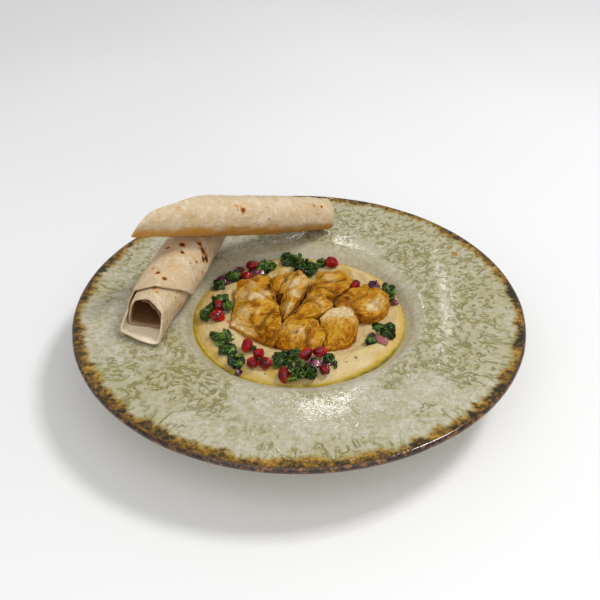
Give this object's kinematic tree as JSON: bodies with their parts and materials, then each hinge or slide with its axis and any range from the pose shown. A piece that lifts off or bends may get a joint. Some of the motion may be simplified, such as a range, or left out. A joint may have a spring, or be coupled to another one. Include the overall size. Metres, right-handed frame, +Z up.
{
  "type": "hummus plate",
  "caption": "Wide-rimmed stoneware plate of hummus topped with torn chicken, pomegranate arils, herbs and onion, with a ring of oil and rolled flatbreads leaning across the rim.",
  "frame": {"origin": "centre of the plate's foot ring, on the surface that the plate stands on", "axes": "+Z up; +X to the eater's right and +Y away from the eater, with the flatbreads at the back left"},
  "size_m": [0.28, 0.28, 0.1071],
  "materials": {
    "stoneware": "glossy reactive glaze, warm grey cream with sage strokes and a speckled ochre and brown edge",
    "hummus": "smooth thick spread with spoon marks, soft satin",
    "oil": "clear golden oil",
    "chicken": "fibrous torn chicken, seared golden brown, moist",
    "flatbread": "soft floury flatbread with blisters and toasted spots",
    "aril": "glossy translucent deep red",
    "herb": "wet dark green chopped leaves",
    "onion": "wet purple slivers"
  },
  "bodies": {
    "root": {"plate": "stoneware", "hummus": "hummus", "oil": "oil", "chicken_left": "chicken", "chicken_front": "chicken", "chicken_front_right": "chicken", "chicken_back_left": "chicken", "chicken_middle": "chicken", "chicken_back_right": "chicken", "chicken_right": "chicken", "chicken_scrap_back": "chicken", "chicken_scrap_left": "chicken", "aril_01": "aril", "aril_02": "aril", "aril_03": "aril", "aril_04": "aril", "aril_05": "aril", "aril_06": "aril", "aril_07": "aril", "aril_08": "aril", "aril_09": "aril", "aril_10": "aril", "aril_11": "aril", "aril_12": "aril", "aril_13": "aril", "aril_14": "aril", "onion_01": "onion", "onion_02": "onion", "onion_03": "onion", "onion_04": "onion", "onion_05": "onion", "onion_06": "onion", "onion_07": "onion", "onion_08": "onion", "onion_09": "onion", "onion_10": "onion", "herb_01": "herb", "herb_02": "herb", "herb_03": "herb", "herb_04": "herb", "herb_05": "herb", "herb_06": "herb", "herb_07": "herb", "herb_08": "herb", "herb_09": "herb", "herb_10": "herb", "herb_11": "herb", "herb_12": "herb", "herb_13": "herb", "herb_14": "herb", "herb_15": "herb", "herb_16": "herb", "herb_17": "herb", "herb_18": "herb", "flatbread_lower": "flatbread", "flatbread_upper": "flatbread"}
  },
  "joints": []
}
